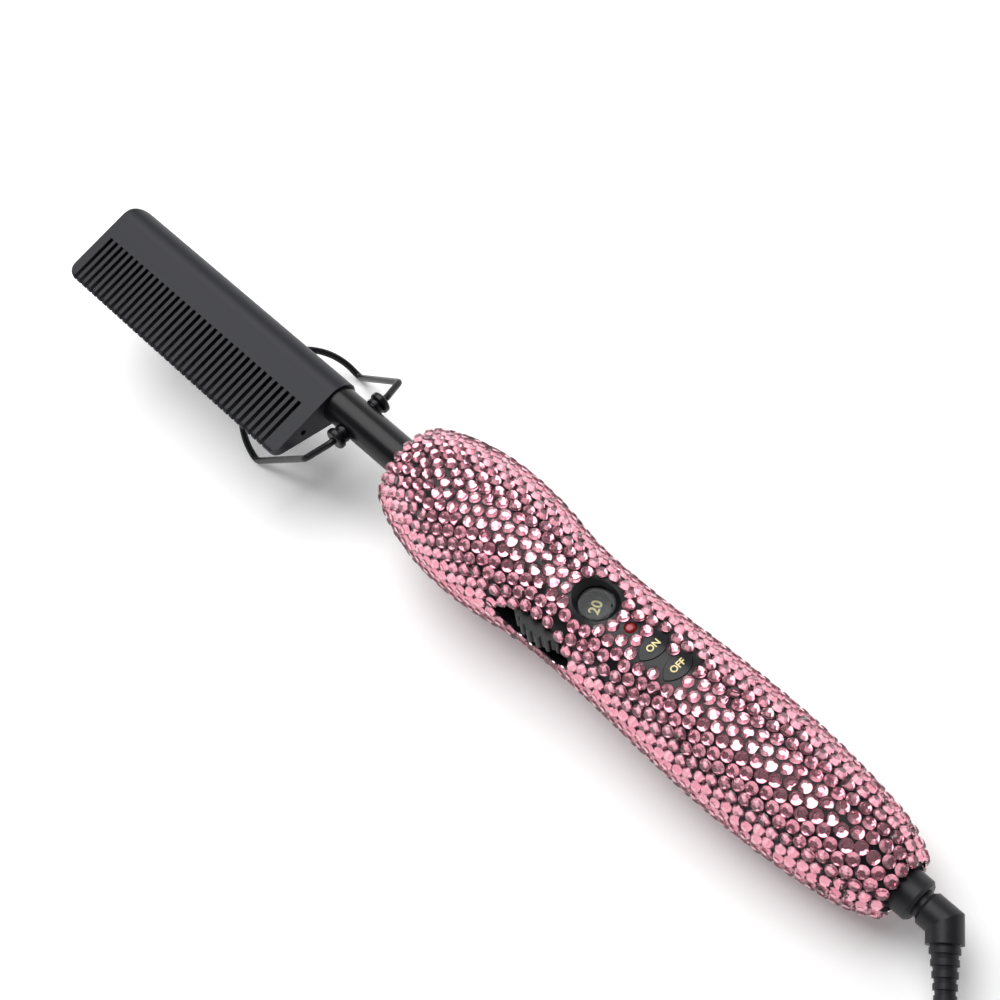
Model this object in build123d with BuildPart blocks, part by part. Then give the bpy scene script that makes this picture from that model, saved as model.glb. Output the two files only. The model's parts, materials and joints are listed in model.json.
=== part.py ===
"""Electric hot comb with a crystal-covered handle, a folding wire stand and a swivel cord."""

import os
from math import asin, atan2, cos, degrees, pi, radians, sin, sqrt, tan

from build123d import *

os.makedirs("parts", exist_ok=True)

# ---------------------------------------------------------------- driving sizes, millimetres
# Stations run along the tool's long axis from the stand's hinge: minus to the comb's tip,
# plus to the cord. Heights are above that axis, and the spine side is plus.

# comb blade: a cast wedge, round at the spine and thin at the teeth
blade_rear_x = -7.5
blade_length = 87.4
spine_r = 5.8
tooth_reach = 21.8
tooth_tip_r = 1.1
slot_count = 36
slot_pitch = 2.254
slot_width = 1.15
slot_root = 7.75
first_slot = 3.4
front_spine_round = 5.0
front_tooth_round = 3.0
rear_tooth_round = 2.4
rear_spine_round = 0.8
sensor_hole_r = 0.8
sensor_hole_depth = 4.0
sensor_hole_y = 12.0

# barrel between blade and handle, and the heater inside it
barrel_r = 5.0
barrel_wall = 1.0
spigot_r = 4.2
spigot_length = 8.0
barrel_tail_x = 34.0
heater_r = 3.0
heater_gap = 0.1
heater_margin = 3.4
heater_round = 0.75

# folding wire stand and the bushes that carry it
wire_d = 1.8
wire_gap = 0.08
bush_flange_r = 2.9
bush_flange_thick = 2.0
bush_flange_round = 0.7
bush_flange_y = 7.36
bush_neck_r = 1.9
bush_ring_r = 2.4
bush_ring_thick = 0.8
wire_end_y = 4.9
wire_turn_y = 9.6
leg_top = (-2.9, 15.9, -2.7)
foot = (-26.7, 18.34, -25.55)
loop_rise = 42.0
loop_lead_angle = 6.3
loop_lead = 2.4
wire_bend_r = 2.0

# handle outline: radius of the plastic at seven stations
nose_x = 20.5
nose_r = 9.4
nose_bend_x = 24.0
nose_bend_r = 12.0
shoulder_x = 47.0
shoulder_r = 16.4
waist_x = 82.0
waist_r = 13.1
belly_x = 130.0
belly_r = 14.4
tail_bend_x = 165.0
tail_bend_r = 11.55
tail_x = 175.6
tail_r = 7.6
handle_wall = 2.0
tail_block = 7.6
stone_height = 1.35
stone_margin = 0.3
stone_ring_pitch = 2.95
stone_ring_edge = 1.4
stone_groove_depth = 0.9
stone_groove_width = 1.3

# insulating collar that holds the barrel in the nose
collar_r = 8.0
collar_length = 7.0

# thumbwheel that sets the temperature
wheel_x = 77.3
wheel_y = -2.8
wheel_r = 11.8
wheel_thick = 5.0
wheel_base = 1.9
wheel_hub_r = 4.5
wheel_hub_drop = 0.8
rib_count = 28
rib_r = 0.75
spindle_r = 2.0
running_gap = 0.08
pot_size = 11.0
pot_thick = 5.0
pot_post_r = 1.6
pot_post_shift = 3.4
wheel_room = 0.4
wheel_slot_length = 24.4
wheel_slot_top = 8.0
wheel_slot_bottom = -2.2

# round window over the thumbwheel's numbers
window_x = 85.5
window_r = 6.5
lens_r = 4.5
lens_thick = 1.2
lens_top = 11.2
bezel_base = 9.2
bezel_ledge = 0.8
bezel_flare = 0.84

# press buttons, their switches and the lamp
button_length = 8.7
button_width = 5.1
button_gap = 0.15
button_flange = 0.7
button_flange_thick = 0.7
button_proud = 0.25
button_travel = 0.6
on_x = 103.7
off_x = 111.2
switch_size = 6.0
switch_height = 3.5
plunger_r = 1.6
plunger_height = 3.1
lamp_x = 96.5
lamp_r = 1.5
lamp_proud = 0.5
lamp_flange = 0.5
lamp_round = 1.05
led_round = 1.35

# control board inside the handle
board_front_x = 92.0
board_length = 31.0
board_width = 17.0
board_thick = 1.6
board_base = 2.2
board_post_r = 2.2
board_screw_r = 1.0
board_screw_head_r = 1.9
board_screw_head = 1.2
board_screw_grip = 4.0
board_post_front = 2.4
board_post_rear = 3.4
board_post_side = 6.2

# screws that close the handle
screw_r = 1.3
screw_head_r = 2.5
screw_head = 1.6
screw_boss_r = 3.0
screw_seat = 7.0
screw_grip = 5.0
screw_spots = [(54.0, 8.0), (54.0, -8.0), (138.0, 6.5), (138.0, -6.5)]

# swivel, elbow and strain relief
swivel_r = 5.25
swivel_flange_r = 7.4
swivel_flange = 2.5
swivel_end_x = 181.3
swivel_chamfer = 0.7
stub_r = 3.3
stub_gap = 0.1
stub_ring_r = 4.4
stub_ring = 3.2
elbow_x = 182.4
elbow_r = 4.1
corner_x = 187.6
elbow_turn = 50.0
elbow_roll = 16.0
elbow_leg = 4.6
relief_end = 24.0
relief_top_r = 3.5
relief_tip_r = 2.2
relief_rib = 0.35
relief_rib_width = 1.32
relief_pitch = 2.45
contact_pin_r = 1.5
contact_pin_length = 9.0
contact_block_length = 13.0
contact_block_size = 9.0

# leads inside
lead_r = 0.8
lead_bend_r = 2.4
lead_side = 1.2
lead_drop = 8.2
lead_straight = 8.0
lead_wheel_front = 6.0
lead_wheel_rear = 1.0
heater_lead_in = 7.0
heater_lead_hang = 3.0
mains_lead_in = 8.0
mains_lead_turn = 1.0
mains_lead_hang = 5.0

# mains cord, coil, tie and plug
cord_r = 1.9
cord_gap = 0.1
arc_share = 0.45
cord_leg = 9.5
coil_heading = 0.0
coil_mid_r = 22.8
coil_layers = 3
coil_rows = 4
coil_round = 1.7
leave_angle = -80.0
leave_bend = 10.0
leave_legs = (6.0, 11.0, 9.0)
tie_angle = 20.0
tie_thick = 0.5
tie_width = 7.0
tie_slack = 0.5
plug_length = 24.0
plug_width = 25.0
plug_thick = 13.0
plug_round = 4.5
plug_front = 10.8
plug_rear_width = 15.5
plug_rear_thick = 10.4
plug_rear_round = 3.5
plug_neck = 12.0
plug_neck_r = 3.4
plug_neck_tip_r = 2.3
plug_blade_length = 17.5
plug_blade_width = 6.3
plug_blade_thick = 1.5
plug_blade_spacing = 12.7

# room past a face for cuts that run through it
over = 1.0

# ---------------------------------------------------------------- how the tool lies on a table
wire_r = wire_d / 2
blade_front_x = blade_rear_x - blade_length
belly_reach = belly_r + stone_height
rest_rise = -foot[2] - (belly_reach - wire_r)
rest_tilt = asin(rest_rise / (belly_x - foot[0]))
hinge_height = wire_r - foot[0] * -sin(rest_tilt) - foot[2] * cos(rest_tilt)
hinge_x = -(blade_front_x + corner_x + elbow_r) / 2 * cos(rest_tilt)
hinge_y = -(foot[1] + wire_r - tooth_reach) / 2

tool = Plane(
    origin=(hinge_x, hinge_y, hinge_height),
    x_dir=(cos(rest_tilt), 0, -sin(rest_tilt)),
    z_dir=(sin(rest_tilt), 0, cos(rest_tilt)),
)
tool_axis = Axis(tool.origin, tool.x_dir)


def spot(x, y=0.0, z=0.0):
    """A point given by station, side and height."""
    return tool.from_local_coords(Vector(x, y, z))


def across(x):
    """Plane square to the axis at a station: x to the spine side, y up, facing the tail."""
    return Plane(spot(x), x_dir=tool.y_dir, z_dir=tool.x_dir)


def level(z):
    """Plane along the tool at a height: x to the tail, y to the spine side."""
    return tool.offset(z)


def lengthwise(y=0.0):
    """Upright plane along the tool: x to the tail, y up, facing the teeth."""
    return Plane(spot(0, y), x_dir=tool.x_dir, z_dir=-tool.y_dir)


def finish(piece, name):
    """Names a finished piece and writes it out."""
    piece.label = name
    export_step(piece, f"parts/{name}.step")


# ---------------------------------------------------------------- comb blade
slot_length = tooth_reach - slot_root
slot_middle = blade_front_x + first_slot + (slot_count - 1) * slot_pitch / 2
heater_length = blade_length - heater_margin

with BuildPart() as comb_blade:
    with BuildSketch(across(blade_front_x)):
        Circle(spine_r)
        with Locations((tooth_tip_r - tooth_reach, 0)):
            Circle(tooth_tip_r)
        make_hull()
    extrude(amount=blade_length)
    with BuildSketch(level(-spine_r - over)):
        with BuildLine():
            FilletPolyline(
                (blade_front_x, spine_r),
                (blade_rear_x, spine_r),
                (blade_rear_x, -tooth_reach),
                (blade_front_x, -tooth_reach),
                radius=[front_spine_round, rear_spine_round, rear_tooth_round, front_tooth_round],
                close=True,
            )
        make_face()
    extrude(amount=2 * (spine_r + over), mode=Mode.INTERSECT)
    with BuildSketch(level(-spine_r - over)):
        with Locations((slot_middle, -slot_root - (slot_length + over) / 2)):
            with GridLocations(slot_pitch, 0, slot_count, 1):
                Rectangle(slot_width, slot_length + over)
    extrude(amount=2 * (spine_r + over), mode=Mode.SUBTRACT)
    with Locations(across(blade_rear_x)):
        CounterBoreHole(heater_r + heater_gap, spigot_r, spigot_length, heater_length)
    with Locations(Plane(spot(blade_rear_x, -sensor_hole_y), z_dir=tool.x_dir)):
        Hole(sensor_hole_r, sensor_hole_depth)
finish(comb_blade.part, "comb_blade")

# ---------------------------------------------------------------- heater core
heater_front_x = blade_rear_x - heater_length + over
heater_rear_x = blade_rear_x + spigot_length
with BuildPart() as heater_core:
    with BuildSketch(across(heater_front_x)):
        Circle(heater_r)
    extrude(amount=heater_rear_x - heater_front_x)
    fillet(heater_core.faces().sort_by(tool_axis)[0].edges(), heater_round)
finish(heater_core.part, "heater_core")

# ---------------------------------------------------------------- barrel tube
barrel_bore_r = barrel_r - barrel_wall
spigot_bore_r = heater_r + heater_gap
with BuildPart() as barrel_tube:
    with BuildSketch(lengthwise()):
        with BuildLine():
            Polyline(
                (blade_rear_x - spigot_length, spigot_bore_r),
                (blade_rear_x - spigot_length, spigot_r),
                (blade_rear_x, spigot_r),
                (blade_rear_x, barrel_r),
                (barrel_tail_x, barrel_r),
                (barrel_tail_x, barrel_bore_r),
                (blade_rear_x + barrel_wall, barrel_bore_r),
                (blade_rear_x + barrel_wall, spigot_bore_r),
                close=True,
            )
        make_face()
    revolve(axis=tool_axis)
    with Locations(lengthwise(-barrel_r)):
        Hole(bush_neck_r, 2 * barrel_r)
finish(barrel_tube.part, "barrel_tube")

# ---------------------------------------------------------------- bushes that carry the stand
bush_axis = Axis(tool.origin, tool.y_dir)
flange_in = bush_flange_y - bush_flange_thick / 2
flange_out = bush_flange_y + bush_flange_thick / 2
ring_in = barrel_r + wire_gap
with BuildPart() as stand_bushes:
    with BuildSketch(level(0)):
        with BuildLine():
            Polyline(
                (0, barrel_bore_r),
                (bush_neck_r, barrel_bore_r),
                (bush_neck_r, ring_in),
                (bush_ring_r, ring_in),
                (bush_ring_r, ring_in + bush_ring_thick),
                (bush_neck_r, ring_in + bush_ring_thick),
                (bush_neck_r, flange_in),
                (bush_flange_r, flange_in),
                (bush_flange_r, flange_out),
                (0, flange_out),
                close=True,
            )
        make_face()
    revolve(axis=bush_axis)
    flange_edges = stand_bushes.edges().filter_by(GeomType.CIRCLE)
    rims = [e for e in flange_edges if abs(e.radius - bush_flange_r) < wire_gap / 2]
    fillet(rims, bush_flange_round)
    with Locations(Plane(spot(0, flange_out), z_dir=tool.y_dir)):
        Hole(wire_r + wire_gap, flange_out - wire_end_y + wire_gap)
    mirror(about=lengthwise())
finish(stand_bushes.part, "stand_bushes")

# ---------------------------------------------------------------- wire stand
foot_point = Vector(foot)
lead_sin = sin(radians(loop_lead_angle))
lead_cos = cos(radians(loop_lead_angle))
loop_dir = Vector(-cos(radians(loop_rise)), 0, sin(radians(loop_rise)))
side_dir = Vector(0, 1, 0)
loop_start = foot_point + loop_dir * (loop_lead * lead_cos) - side_dir * (loop_lead * lead_sin)
loop_r = loop_start.Y / lead_cos
loop_middle = Vector(loop_start.X, 0, loop_start.Z) - loop_dir * (loop_r * lead_sin)
loop_front = loop_middle + loop_dir * loop_r


def other_side(point):
    """The same point on the other side of the tool."""
    x, y, z = point
    return Vector(x, -y, z)


leg_points = [
    Vector(0, wire_end_y, 0),
    Vector(0, wire_turn_y, 0),
    Vector(leg_top),
    foot_point,
    loop_start,
]
near_leg = [spot(*p) for p in leg_points]
far_leg = [spot(*other_side(p)) for p in reversed(leg_points)]
with BuildPart() as wire_stand:
    with BuildLine() as wire_line:
        FilletPolyline(*near_leg, radius=wire_bend_r)
        ThreePointArc(near_leg[-1], spot(*loop_front), far_leg[0])
        FilletPolyline(*far_leg, radius=wire_bend_r)
    with BuildSketch(Plane(near_leg[0], z_dir=tool.y_dir)):
        Circle(wire_r)
    sweep(path=wire_line.line)
finish(wire_stand.part, "wire_stand")


# ---------------------------------------------------------------- handle outline
def outline(grow):
    """Arcs of the handle's edge from nose to tail, moved out by a distance."""
    nose = Vector(nose_x - grow, nose_r)
    nose_bend = Vector(nose_bend_x, nose_bend_r + grow)
    shoulder = Vector(shoulder_x, shoulder_r + grow)
    waist = Vector(waist_x, waist_r + grow)
    belly = Vector(belly_x, belly_r + grow)
    tail_bend = Vector(tail_bend_x, tail_bend_r + grow)
    tail = Vector(tail_x, tail_r + grow)
    front = TangentArc(shoulder, nose_bend, tangent=(-1, 0))
    TangentArc(nose_bend, nose, tangent=front % 1)
    for start, end in ((shoulder, waist), (waist, belly)):
        middle = (start + end) / 2
        bow = TangentArc(start, middle, tangent=(1, 0))
        TangentArc(middle, end, tangent=bow % 1)
    rear = TangentArc(belly, tail_bend, tangent=(1, 0))
    TangentArc(tail_bend, tail, tangent=rear % 1)
    return nose, tail


def half_section(grow):
    """Flat face inside the outline, down to the axis."""
    with BuildSketch(Plane.XY) as half:
        with BuildLine():
            nose, tail = outline(grow)
            Polyline(tail, (tail.X, 0), (nose.X, 0), nose)
        make_face()
    return half.sketch_local


def pointed_oval(length, width):
    """Flat oval with its two points along y, like a press button seen from above."""
    with BuildSketch(Plane.XY) as oval:
        with BuildLine():
            ThreePointArc((0, -length / 2), (width / 2, 0), (0, length / 2))
            ThreePointArc((0, length / 2), (-width / 2, 0), (0, -length / 2))
        make_face()
    return oval.sketch_local


def solid_handle(grow):
    """Whole handle form, grown by a distance, for trimming what sits in its surface."""
    with BuildPart() as form:
        with BuildSketch(level(0)):
            add(half_section(grow))
        revolve(axis=tool_axis)
    return form.part


def top_openings(grow, height):
    """Upright cutters for window, lamp and buttons, from a height outwards."""
    with BuildPart() as cutters:
        with BuildSketch(level(height)):
            with Locations((window_x, 0)):
                Circle(window_r + grow)
            with Locations((lamp_x, 0)):
                Circle(lamp_r + grow)
            with Locations((on_x, 0), (off_x, 0)):
                rim = 2 * (button_gap + grow)
                add(pointed_oval(button_length + rim, button_width + rim))
        extrude(amount=shoulder_r + stone_height)
    return cutters.part


with BuildPart() as wheel_slot:
    with BuildSketch(lengthwise()):
        with Locations(Location((wheel_x, (wheel_slot_top + wheel_slot_bottom) / 2, 0), (0, 0, 90))):
            add(pointed_oval(wheel_slot_length, wheel_slot_top - wheel_slot_bottom))
    extrude(amount=shoulder_r + stone_height + over)

with BuildPart() as wheel_space:
    with BuildSketch(level(wheel_base - wheel_room)):
        with Locations((wheel_x, wheel_y)):
            Circle(wheel_r + wheel_room)
    extrude(amount=wheel_thick + 2 * wheel_room)

cavity_end_x = tail_x - tail_block
barrel_hole_r = barrel_r + wire_gap
with BuildPart() as handle_wall_form:
    with BuildSketch(level(0)):
        add(half_section(0))
        add(half_section(-handle_wall), mode=Mode.SUBTRACT)
        with BuildLine():
            Polyline(
                (cavity_end_x, 0),
                (cavity_end_x, belly_r),
                (tail_x, tail_r),
                (tail_x, 0),
                close=True,
            )
        make_face()
    revolve(axis=tool_axis)
    add(solid_handle(0), mode=Mode.INTERSECT)
    with BuildSketch(across(nose_x - over)):
        Circle(barrel_hole_r)
    extrude(amount=handle_wall + 2 * over, mode=Mode.SUBTRACT)
    with BuildSketch(across(cavity_end_x - over)):
        Circle(swivel_r)
    extrude(amount=tail_block + 2 * over, mode=Mode.SUBTRACT)

cavity_top = waist_r - handle_wall
post_top = board_base + board_thick
board_rear_x = board_front_x + board_length
post_front_x = board_front_x + board_post_front
board_posts = [
    (post_front_x, board_post_side),
    (post_front_x, -board_post_side),
    (board_rear_x - board_post_rear, 0.0),
]
with BuildPart() as handle_top_shell:
    add(handle_wall_form.part)
    split(bisect_by=level(0), keep=Keep.TOP)
    with BuildSketch(level(0)):
        with Locations(*screw_spots):
            Circle(screw_boss_r)
    extrude(until=Until.NEXT)
    with BuildSketch(level(post_top)):
        with Locations(*board_posts):
            Circle(board_post_r)
    extrude(until=Until.NEXT)
    with BuildSketch(level(0)):
        with Locations(*screw_spots):
            Circle(screw_r)
    extrude(amount=screw_grip, mode=Mode.SUBTRACT)
    with BuildSketch(level(post_top)):
        with Locations(*board_posts):
            Circle(board_screw_r)
    extrude(amount=board_screw_grip, mode=Mode.SUBTRACT)
    add(top_openings(0, cavity_top - handle_wall), mode=Mode.SUBTRACT)
    add(wheel_slot.part, mode=Mode.SUBTRACT)
    add(wheel_space.part, mode=Mode.SUBTRACT)
finish(handle_top_shell.part, "handle_top_shell")

pot_base = wheel_base - wheel_hub_drop - pot_thick
with BuildPart() as handle_bottom_shell:
    add(handle_wall_form.part)
    split(bisect_by=level(0), keep=Keep.BOTTOM)
    with BuildSketch(level(0)):
        with Locations(*screw_spots):
            Circle(screw_boss_r)
    extrude(until=Until.NEXT, dir=-tool.z_dir)
    with BuildSketch(level(pot_base)):
        with Locations((wheel_x, wheel_y - pot_post_shift)):
            with GridLocations(2 * pot_post_shift, 0, 2, 1):
                Circle(pot_post_r)
    extrude(until=Until.NEXT, dir=-tool.z_dir)
    with Locations(*[Plane(spot(x, y, -shoulder_r), z_dir=-tool.z_dir) for x, y in screw_spots]):
        CounterBoreHole(screw_r, screw_head_r + wire_gap, shoulder_r - screw_seat, shoulder_r)
    add(wheel_slot.part, mode=Mode.SUBTRACT)
finish(handle_bottom_shell.part, "handle_bottom_shell")

# ---------------------------------------------------------------- screws of the handle
with BuildPart() as handle_screws:
    with BuildSketch(level(-screw_seat)):
        with Locations(*screw_spots):
            Circle(screw_r)
    extrude(amount=screw_seat + screw_grip - over)
    with BuildSketch(level(-screw_seat)):
        with Locations(*screw_spots):
            Circle(screw_head_r)
    extrude(amount=-screw_head)
finish(handle_screws.part, "handle_screws")

# ---------------------------------------------------------------- crystal skin
# The stones sit in rings round the handle, so the skin has a groove between each two rings.
with BuildLine(Plane.XY) as skin_line:
    outline(0)
skin_edge = skin_line.wire()
ring_gaps = round((skin_edge.length - 2 * stone_ring_edge) / stone_ring_pitch)
ring_step = (skin_edge.length - 2 * stone_ring_edge) / ring_gaps


def ring_groove(distance):
    """Corners of a V across the skin, by its distance along the handle's edge."""
    share = distance / skin_edge.length
    foot_at = skin_edge @ share
    along = skin_edge % share
    out = Vector(-along.Y, along.X) if along.X > 0 else Vector(along.Y, -along.X)
    tip = foot_at + out * (stone_height - stone_groove_depth)
    rise = out * (stone_groove_depth + over)
    spread = along * stone_groove_width / 2 * (stone_groove_depth + over) / stone_groove_depth
    return tip, tip + rise + spread, tip + rise - spread


with BuildPart() as crystal_layer:
    with BuildSketch(level(0)):
        with BuildLine():
            nose_out, tail_out = outline(stone_height)
            nose_in, tail_in = outline(0)
            Line(nose_out, nose_in)
            Line(tail_out, tail_in)
        make_face()
        for gap in range(ring_gaps):
            with BuildLine():
                Polyline(*ring_groove(stone_ring_edge + (gap + 0.5) * ring_step), close=True)
            make_face(mode=Mode.SUBTRACT)
    revolve(axis=tool_axis)
    add(top_openings(stone_margin, 0), mode=Mode.SUBTRACT)
    add(wheel_slot.part, mode=Mode.SUBTRACT)
    add(wheel_space.part, mode=Mode.SUBTRACT)
finish(crystal_layer.part, "crystal_layer")

# ---------------------------------------------------------------- insulating collar
collar_front_x = nose_x + handle_wall
with BuildPart() as barrel_collar:
    with BuildSketch(across(collar_front_x)):
        Circle(collar_r)
        Circle(barrel_r, mode=Mode.SUBTRACT)
    extrude(amount=collar_length)
    chamfer(barrel_collar.faces().sort_by(tool_axis)[-1].edges(), barrel_wall / 2)
finish(barrel_collar.part, "barrel_collar")

# ---------------------------------------------------------------- window bezel and lens
bezel_top = waist_r + over
bezel_rim_r = lens_r + bezel_flare * (bezel_top - lens_top)
with BuildPart() as dial_window_bezel:
    with BuildSketch(level(bezel_base)):
        with Locations((window_x, 0)):
            Circle(window_r)
            Circle(lens_r - bezel_ledge, mode=Mode.SUBTRACT)
    extrude(amount=bezel_top - bezel_base)
    with BuildSketch(level(lens_top - lens_thick)):
        with Locations((window_x, 0)):
            Circle(lens_r)
    extrude(amount=lens_thick, mode=Mode.SUBTRACT)
    with BuildSketch(level(lens_top)):
        with Locations((window_x, 0)):
            Circle(lens_r)
    with BuildSketch(level(bezel_top)):
        with Locations((window_x, 0)):
            Circle(bezel_rim_r)
    loft(mode=Mode.SUBTRACT)
    add(solid_handle(0), mode=Mode.INTERSECT)
finish(dial_window_bezel.part, "dial_window_bezel")

with BuildPart() as dial_window_lens:
    with BuildSketch(level(lens_top - lens_thick)):
        with Locations((window_x, 0)):
            Circle(lens_r)
    extrude(amount=lens_thick)
    fillet(dial_window_lens.faces().sort_by(Axis(tool.origin, tool.z_dir))[-1].edges(), lens_thick / 2)
finish(dial_window_lens.part, "dial_window_lens")

# ---------------------------------------------------------------- thumbwheel, spindle, control
with BuildPart() as temperature_dial:
    with BuildSketch(level(wheel_base)):
        with Locations((wheel_x, wheel_y)):
            Circle(wheel_r - rib_r)
            with PolarLocations(wheel_r - rib_r, rib_count):
                Circle(rib_r)
    extrude(amount=wheel_thick)
    with BuildSketch(level(wheel_base)):
        with Locations((wheel_x, wheel_y)):
            Circle(wheel_hub_r)
    extrude(amount=-wheel_hub_drop + running_gap)
    with Locations(Plane(spot(wheel_x, wheel_y, wheel_base + wheel_thick), z_dir=tool.z_dir)):
        Hole(spindle_r, wheel_thick + over)
finish(temperature_dial.part, "temperature_dial")

pot_top = pot_base + pot_thick
spindle_foot = pot_base + over
with BuildPart() as dial_spindle:
    with BuildSketch(level(spindle_foot)):
        with Locations((wheel_x, wheel_y)):
            Circle(spindle_r)
    extrude(amount=wheel_base + wheel_thick - spindle_foot)
    chamfer(dial_spindle.faces().sort_by(Axis(tool.origin, tool.z_dir))[-1].edges(), spindle_r / 5)
finish(dial_spindle.part, "dial_spindle")

with BuildPart() as dial_potentiometer:
    with BuildSketch(level(pot_base)):
        with Locations((wheel_x, wheel_y)):
            RectangleRounded(pot_size, pot_size, over)
    extrude(amount=pot_thick)
    with Locations(Plane(spot(wheel_x, wheel_y, pot_top), z_dir=tool.z_dir)):
        Hole(spindle_r + running_gap, pot_top - spindle_foot + running_gap)
finish(dial_potentiometer.part, "dial_potentiometer")

# ---------------------------------------------------------------- control board and its screws
board_top = board_base + board_thick
board_middle_x = board_front_x + board_length / 2
with BuildPart() as control_board:
    with BuildSketch(level(board_base)):
        with Locations((board_middle_x, 0)):
            RectangleRounded(board_length, board_width, over)
        with Locations(*board_posts):
            Circle(board_screw_r, mode=Mode.SUBTRACT)
    extrude(amount=board_thick)
finish(control_board.part, "control_board")

with BuildPart() as board_screws:
    with BuildSketch(level(board_base)):
        with Locations(*board_posts):
            Circle(board_screw_r)
    extrude(amount=board_thick + board_screw_grip - over)
    with BuildSketch(level(board_base)):
        with Locations(*board_posts):
            Circle(board_screw_head_r)
    extrude(amount=-board_screw_head)
finish(board_screws.part, "board_screws")

# ---------------------------------------------------------------- lamp
lamp_flange_top = cavity_top - over / 2
lamp_led_top = lamp_flange_top - lamp_flange - running_gap
with BuildPart() as indicator_led:
    with BuildSketch(level(board_top)):
        with Locations((lamp_x, 0)):
            Circle(lamp_r)
    extrude(amount=lamp_led_top - board_top)
    fillet(indicator_led.faces().sort_by(Axis(tool.origin, tool.z_dir))[-1].edges(), led_round)
finish(indicator_led.part, "indicator_led")

lamp_top = waist_r + lamp_proud
with BuildPart() as indicator_lens:
    with BuildSketch(level(lamp_flange_top - lamp_flange)):
        with Locations((lamp_x, 0)):
            Circle(lamp_r + lamp_flange)
    extrude(amount=lamp_flange)
    with BuildSketch(level(lamp_flange_top)):
        with Locations((lamp_x, 0)):
            Circle(lamp_r)
    extrude(amount=lamp_top - lamp_flange_top)
    fillet(indicator_lens.faces().sort_by(Axis(tool.origin, tool.z_dir))[-1].edges(), lamp_round)
finish(indicator_lens.part, "indicator_lens")

# ---------------------------------------------------------------- buttons, plungers, switches
switch_top = board_top + switch_height
plunger_base = switch_top - plunger_height + over
plunger_top = plunger_base + plunger_height
flange_half = button_length / 2 + button_flange
flange_top = sqrt((waist_r - handle_wall) ** 2 - flange_half**2) - running_gap
for name, station in (("on", on_x), ("off", off_x)):
    with BuildPart() as button:
        with BuildSketch(level(flange_top - button_flange_thick)):
            with Locations((station, 0)):
                add(pointed_oval(button_length + 2 * button_flange, button_width + 2 * button_flange))
        extrude(amount=button_flange_thick)
        with BuildSketch(level(flange_top)):
            with Locations((station, 0)):
                add(pointed_oval(button_length, button_width))
        extrude(amount=shoulder_r - flange_top)
        with BuildSketch(level(plunger_top)):
            with Locations((station, 0)):
                Circle(plunger_r)
        extrude(amount=flange_top - button_flange_thick - plunger_top)
        add(solid_handle(button_proud), mode=Mode.INTERSECT)
    finish(button.part, f"{name}_button")

    with BuildPart() as plunger:
        with BuildSketch(level(plunger_base)):
            with Locations((station, 0)):
                Circle(plunger_r)
        extrude(amount=plunger_height)
    finish(plunger.part, f"{name}_plunger")

    with BuildPart() as switch:
        with BuildSketch(level(board_top)):
            with Locations((station, 0)):
                RectangleRounded(switch_size, switch_size, over / 2)
        extrude(amount=switch_height)
        with Locations(Plane(spot(station, 0, switch_top), z_dir=tool.z_dir)):
            Hole(plunger_r + running_gap, switch_top - plunger_base + button_travel + running_gap)
    finish(switch.part, f"{name}_switch")

# ---------------------------------------------------------------- swivel
swivel_bore_r = stub_r + stub_gap
ring_room_r = stub_ring_r + stub_gap
collar_in_x = cavity_end_x - swivel_flange
ring_rear_x = cavity_end_x + over
with BuildPart() as swivel_collar:
    with BuildSketch(lengthwise()):
        with BuildLine():
            Polyline(
                (collar_in_x, ring_room_r),
                (collar_in_x, swivel_flange_r),
                (cavity_end_x, swivel_flange_r),
                (cavity_end_x, swivel_r),
                (swivel_end_x - swivel_chamfer, swivel_r),
                (swivel_end_x, swivel_r - swivel_chamfer),
                (swivel_end_x, swivel_bore_r),
                (ring_rear_x, swivel_bore_r),
                (ring_rear_x, ring_room_r),
                close=True,
            )
        make_face()
    revolve(axis=tool_axis)
finish(swivel_collar.part, "swivel_collar")

turn = radians(elbow_turn)
roll = radians(elbow_roll)
exit_dir = Vector(cos(turn), -sin(turn) * cos(roll), -sin(turn) * sin(roll))


def down_exit(distance):
    """Tool-frame point on the outgoing leg, a distance past the elbow's corner."""
    return Vector(corner_x, 0, 0) + exit_dir * distance


exit_world = spot(*exit_dir) - spot(0)
ring_front_x = ring_rear_x - stub_ring - running_gap
with BuildPart() as swivel_elbow:
    with BuildLine() as elbow_line:
        Polyline(spot(elbow_x), spot(corner_x), spot(*down_exit(elbow_leg)))
    with BuildSketch(across(elbow_x)):
        Circle(elbow_r)
    sweep(path=elbow_line.line, transition=Transition.RIGHT)
    chamfer(swivel_elbow.faces().sort_by(tool_axis)[0].edges(), swivel_chamfer)
    with BuildSketch(across(ring_front_x)):
        Circle(stub_r)
    extrude(amount=elbow_x - ring_front_x)
    with BuildSketch(across(ring_front_x)):
        Circle(stub_ring_r)
    extrude(amount=stub_ring)
    with Locations(Plane(spot(ring_front_x), z_dir=-tool.x_dir)):
        Hole(contact_pin_r, contact_pin_length / 2)
finish(swivel_elbow.part, "swivel_elbow")

pin_front_x = ring_front_x - contact_pin_length / 2
with BuildPart() as swivel_pin:
    with BuildSketch(across(pin_front_x)):
        Circle(contact_pin_r)
    extrude(amount=contact_pin_length)
    chamfer(swivel_pin.faces().sort_by(tool_axis)[0].edges(), contact_pin_r / 3)
finish(swivel_pin.part, "swivel_pin")

# ---------------------------------------------------------------- contact block for the swivel
block_rear_x = collar_in_x
with BuildPart() as contact_block:
    with BuildSketch(across(block_rear_x)):
        RectangleRounded(contact_block_size, contact_block_size, over)
    extrude(amount=-contact_block_length)
    with Locations(across(block_rear_x)):
        Hole(contact_pin_r + running_gap, block_rear_x - pin_front_x + over)
finish(contact_block.part, "contact_block")

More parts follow.
